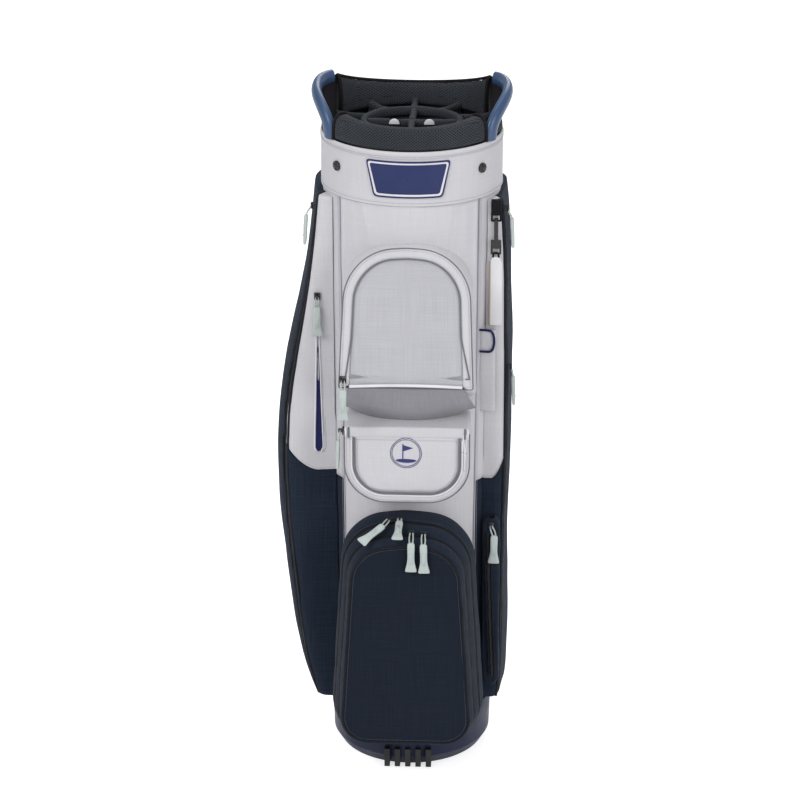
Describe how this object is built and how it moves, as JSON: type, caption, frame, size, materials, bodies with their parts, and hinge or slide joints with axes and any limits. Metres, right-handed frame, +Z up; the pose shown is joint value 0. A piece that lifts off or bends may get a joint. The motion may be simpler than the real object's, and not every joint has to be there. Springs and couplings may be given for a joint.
{
  "type": "golf cart bag",
  "caption": "Upright oval golf bag on a moulded base, with a divided padded top, two side handles, front and side zip pockets, hinged pocket fronts and swinging zip pulls.",
  "frame": {"origin": "centre of the base cup's underside, on the ground", "axes": "+Z up; -Y is the bag's front, with the badge and the front pockets; -X is the side with the larger pocket"},
  "size_m": [0.3084, 0.3342, 0.8989],
  "materials": {
    "navy_fabric": "woven polyester, matt",
    "light_fabric": "woven polyester, matt",
    "grey_fabric": "woven polyester, matt",
    "mesh": "padded spacer mesh",
    "base_plastic": "moulded, satin",
    "handle_plastic": "moulded, satin",
    "black_rubber": "matt",
    "liner_plastic": "sheet, matt",
    "rod_metal": "drawn",
    "badge": "moulded, satin",
    "black_plastic": "moulded",
    "zip_tape": "zip tape and coil",
    "foam": "foil-faced foam",
    "pull_rubber": "moulded, matt",
    "webbing": "woven webbing",
    "metal": "black nickel"
  },
  "bodies": {
    "bag": {"base_cup": "base_plastic", "base_ribs": "black_rubber", "stay_rods": "rod_metal", "front_panel": "light_fabric", "rear_panel": "navy_fabric", "left_side_panel": "light_fabric", "right_side_panel": "light_fabric", "lower_side_panels": "navy_fabric", "liner": "liner_plastic", "cuff_band": "light_fabric", "top_frame": "black_plastic", "cuff_badge": "badge", "snap_studs": "black_plastic", "handle_right": "handle_plastic", "handle_left": "handle_plastic", "rim_roll": "mesh", "rim_wall": "mesh", "rim_side_pads": "mesh", "divider_ring": "mesh", "divider_tube": "mesh", "divider_spokes": "mesh", "divider_walls": "liner_plastic", "cooler_body": "navy_fabric", "cooler_liner": "foam", "valuables_body": "light_fabric", "utility_body": "light_fabric", "left_pocket_gusset": "light_fabric", "right_pocket_gusset": "light_fabric", "side_zips": "zip_tape", "slash_welt": "navy_fabric", "pen_sleeve": "light_fabric", "right_lower_pocket": "navy_fabric", "towel_loop": "webbing", "shoulder_strap": "navy_fabric", "strap_rings": "metal", "grab_handle": "webbing"},
    "cooler_front": {"cooler_panel": "navy_fabric", "cooler_zip": "zip_tape"},
    "ball_flap": {"ball_panel": "navy_fabric", "ball_zip": "zip_tape"},
    "valuables_flap": {"valuables_flap": "grey_fabric"},
    "utility_flap": {"utility_flap": "light_fabric"},
    "left_door": {"left_pocket_door": "navy_fabric"},
    "right_door": {"right_pocket_door": "navy_fabric"},
    "valuables_slider": {"valuables_slider": "black_plastic"},
    "utility_slider": {"utility_slider": "black_plastic"},
    "slash_slider": {"slash_slider": "black_plastic"},
    "towel_hook": {"towel_hook": "black_plastic"},
    "towel_strap": {"towel_strap": "light_fabric"},
    "cooler_pull_left": {"cooler_pull_left": "pull_rubber"},
    "cooler_pull_right": {"cooler_pull_right": "pull_rubber"},
    "ball_pull_left": {"ball_pull_left": "pull_rubber"},
    "ball_pull_right": {"ball_pull_right": "pull_rubber"},
    "valuables_pull": {"valuables_pull": "pull_rubber"},
    "utility_pull": {"utility_pull": "pull_rubber"},
    "slash_pull": {"slash_pull": "pull_rubber"},
    "right_lower_pull": {"right_lower_pull": "pull_rubber"},
    "left_pocket_pull": {"left_pocket_pull": "pull_rubber"},
    "right_upper_pull": {"right_upper_pull": "pull_rubber"},
    "right_middle_pull": {"right_middle_pull": "pull_rubber"}
  },
  "joints": [
    {"name": "cooler_front_hinge", "type": "hinge", "parent": "bag", "child": "cooler_front", "pos_m": [0, -0.13615, 0.0663], "axis": [1, 0, 0], "range_deg": [0, 45]},
    {"name": "ball_flap_hinge", "type": "hinge", "parent": "cooler_front", "child": "ball_flap", "pos_m": [0, -0.16015, 0.0663], "axis": [1, 0, 0], "range_deg": [0, 35]},
    {"name": "valuables_flap_hinge", "type": "hinge", "parent": "bag", "child": "valuables_flap", "pos_m": [0, -0.16324, 0.55324], "axis": [1, 0, 0], "range_deg": [0, 60]},
    {"name": "utility_flap_hinge", "type": "hinge", "parent": "bag", "child": "utility_flap", "pos_m": [0, -0.138, 0.474], "axis": [-1, 0, 0], "range_deg": [0, 70]},
    {"name": "left_door_hinge", "type": "hinge", "parent": "bag", "child": "left_door", "pos_m": [-0.074, 0.074, 0.4], "axis": [0, 0, -1], "range_deg": [0, 35]},
    {"name": "right_door_hinge", "type": "hinge", "parent": "bag", "child": "right_door", "pos_m": [0.074, 0.074, 0.4], "axis": [0, 0, 1], "range_deg": [0, 35]},
    {"name": "slash_slide", "type": "slide", "parent": "bag", "child": "slash_slider", "axis": [0, 0, -1], "range_m": [0, 0.18]},
    {"name": "valuables_slide", "type": "slide", "parent": "bag", "child": "valuables_slider", "axis": [0, 0.2358, 0.9718], "range_m": [0, 0.07]},
    {"name": "utility_slide", "type": "slide", "parent": "bag", "child": "utility_slider", "axis": [0, 0, -1], "range_m": [0, 0.03]},
    {"name": "cooler_pull_left_swing", "type": "hinge", "parent": "cooler_front", "child": "cooler_pull_left", "pos_m": [-0.022, -0.1371, 0.36138], "axis": [-1, 0, 0], "range_deg": [0, 80]},
    {"name": "cooler_pull_right_swing", "type": "hinge", "parent": "cooler_front", "child": "cooler_pull_right", "pos_m": [-0.009, -0.1371, 0.36267], "axis": [-1, 0, 0], "range_deg": [0, 80]},
    {"name": "ball_pull_left_swing", "type": "hinge", "parent": "ball_flap", "child": "ball_pull_left", "pos_m": [0.007, -0.1611, 0.35549], "axis": [-1, 0, 0], "range_deg": [0, 80]},
    {"name": "ball_pull_right_swing", "type": "hinge", "parent": "ball_flap", "child": "ball_pull_right", "pos_m": [0.022, -0.1611, 0.35401], "axis": [-1, 0, 0], "range_deg": [0, 80]},
    {"name": "valuables_pull_swing", "type": "hinge", "parent": "valuables_slider", "child": "valuables_pull", "pos_m": [-0.078, -0.16597, 0.56025], "axis": [-1, 0, 0], "range_deg": [0, 90]},
    {"name": "utility_pull_swing", "type": "hinge", "parent": "utility_slider", "child": "utility_pull", "pos_m": [-0.0843, -0.129, 0.478], "axis": [0, 1, 0], "range_deg": [0, 90]},
    {"name": "slash_pull_swing", "type": "hinge", "parent": "slash_slider", "child": "slash_pull", "pos_m": [-0.117, -0.06143, 0.6311], "axis": [-1, 0, 0], "range_deg": [0, 90]},
    {"name": "right_lower_pull_swing", "type": "hinge", "parent": "bag", "child": "right_lower_pull", "pos_m": [0.1055, -0.07229, 0.326], "axis": [-1, 0, 0], "range_deg": [0, 90]},
    {"name": "left_pocket_pull_swing", "type": "hinge", "parent": "bag", "child": "left_pocket_pull", "pos_m": [-0.12344, -0.046, 0.748], "axis": [0, 1, 0], "range_deg": [0, 90]},
    {"name": "right_upper_pull_swing", "type": "hinge", "parent": "bag", "child": "right_upper_pull", "pos_m": [0.12192, -0.046, 0.748], "axis": [0, -1, 0], "range_deg": [0, 90]},
    {"name": "right_middle_pull_swing", "type": "hinge", "parent": "bag", "child": "right_middle_pull", "pos_m": [0.12812, -0.046, 0.536], "axis": [0, -1, 0], "range_deg": [0, 90]},
    {"name": "towel_hook_swing", "type": "hinge", "parent": "bag", "child": "towel_hook", "pos_m": [0.108, -0.05723, 0.735], "axis": [-1, 0, 0], "range_deg": [0, 70]},
    {"name": "towel_strap_swing", "type": "hinge", "parent": "towel_hook", "child": "towel_strap", "pos_m": [0.108, -0.05723, 0.6917], "axis": [-1, 0, 0], "range_deg": [0, 60]}
  ]
}
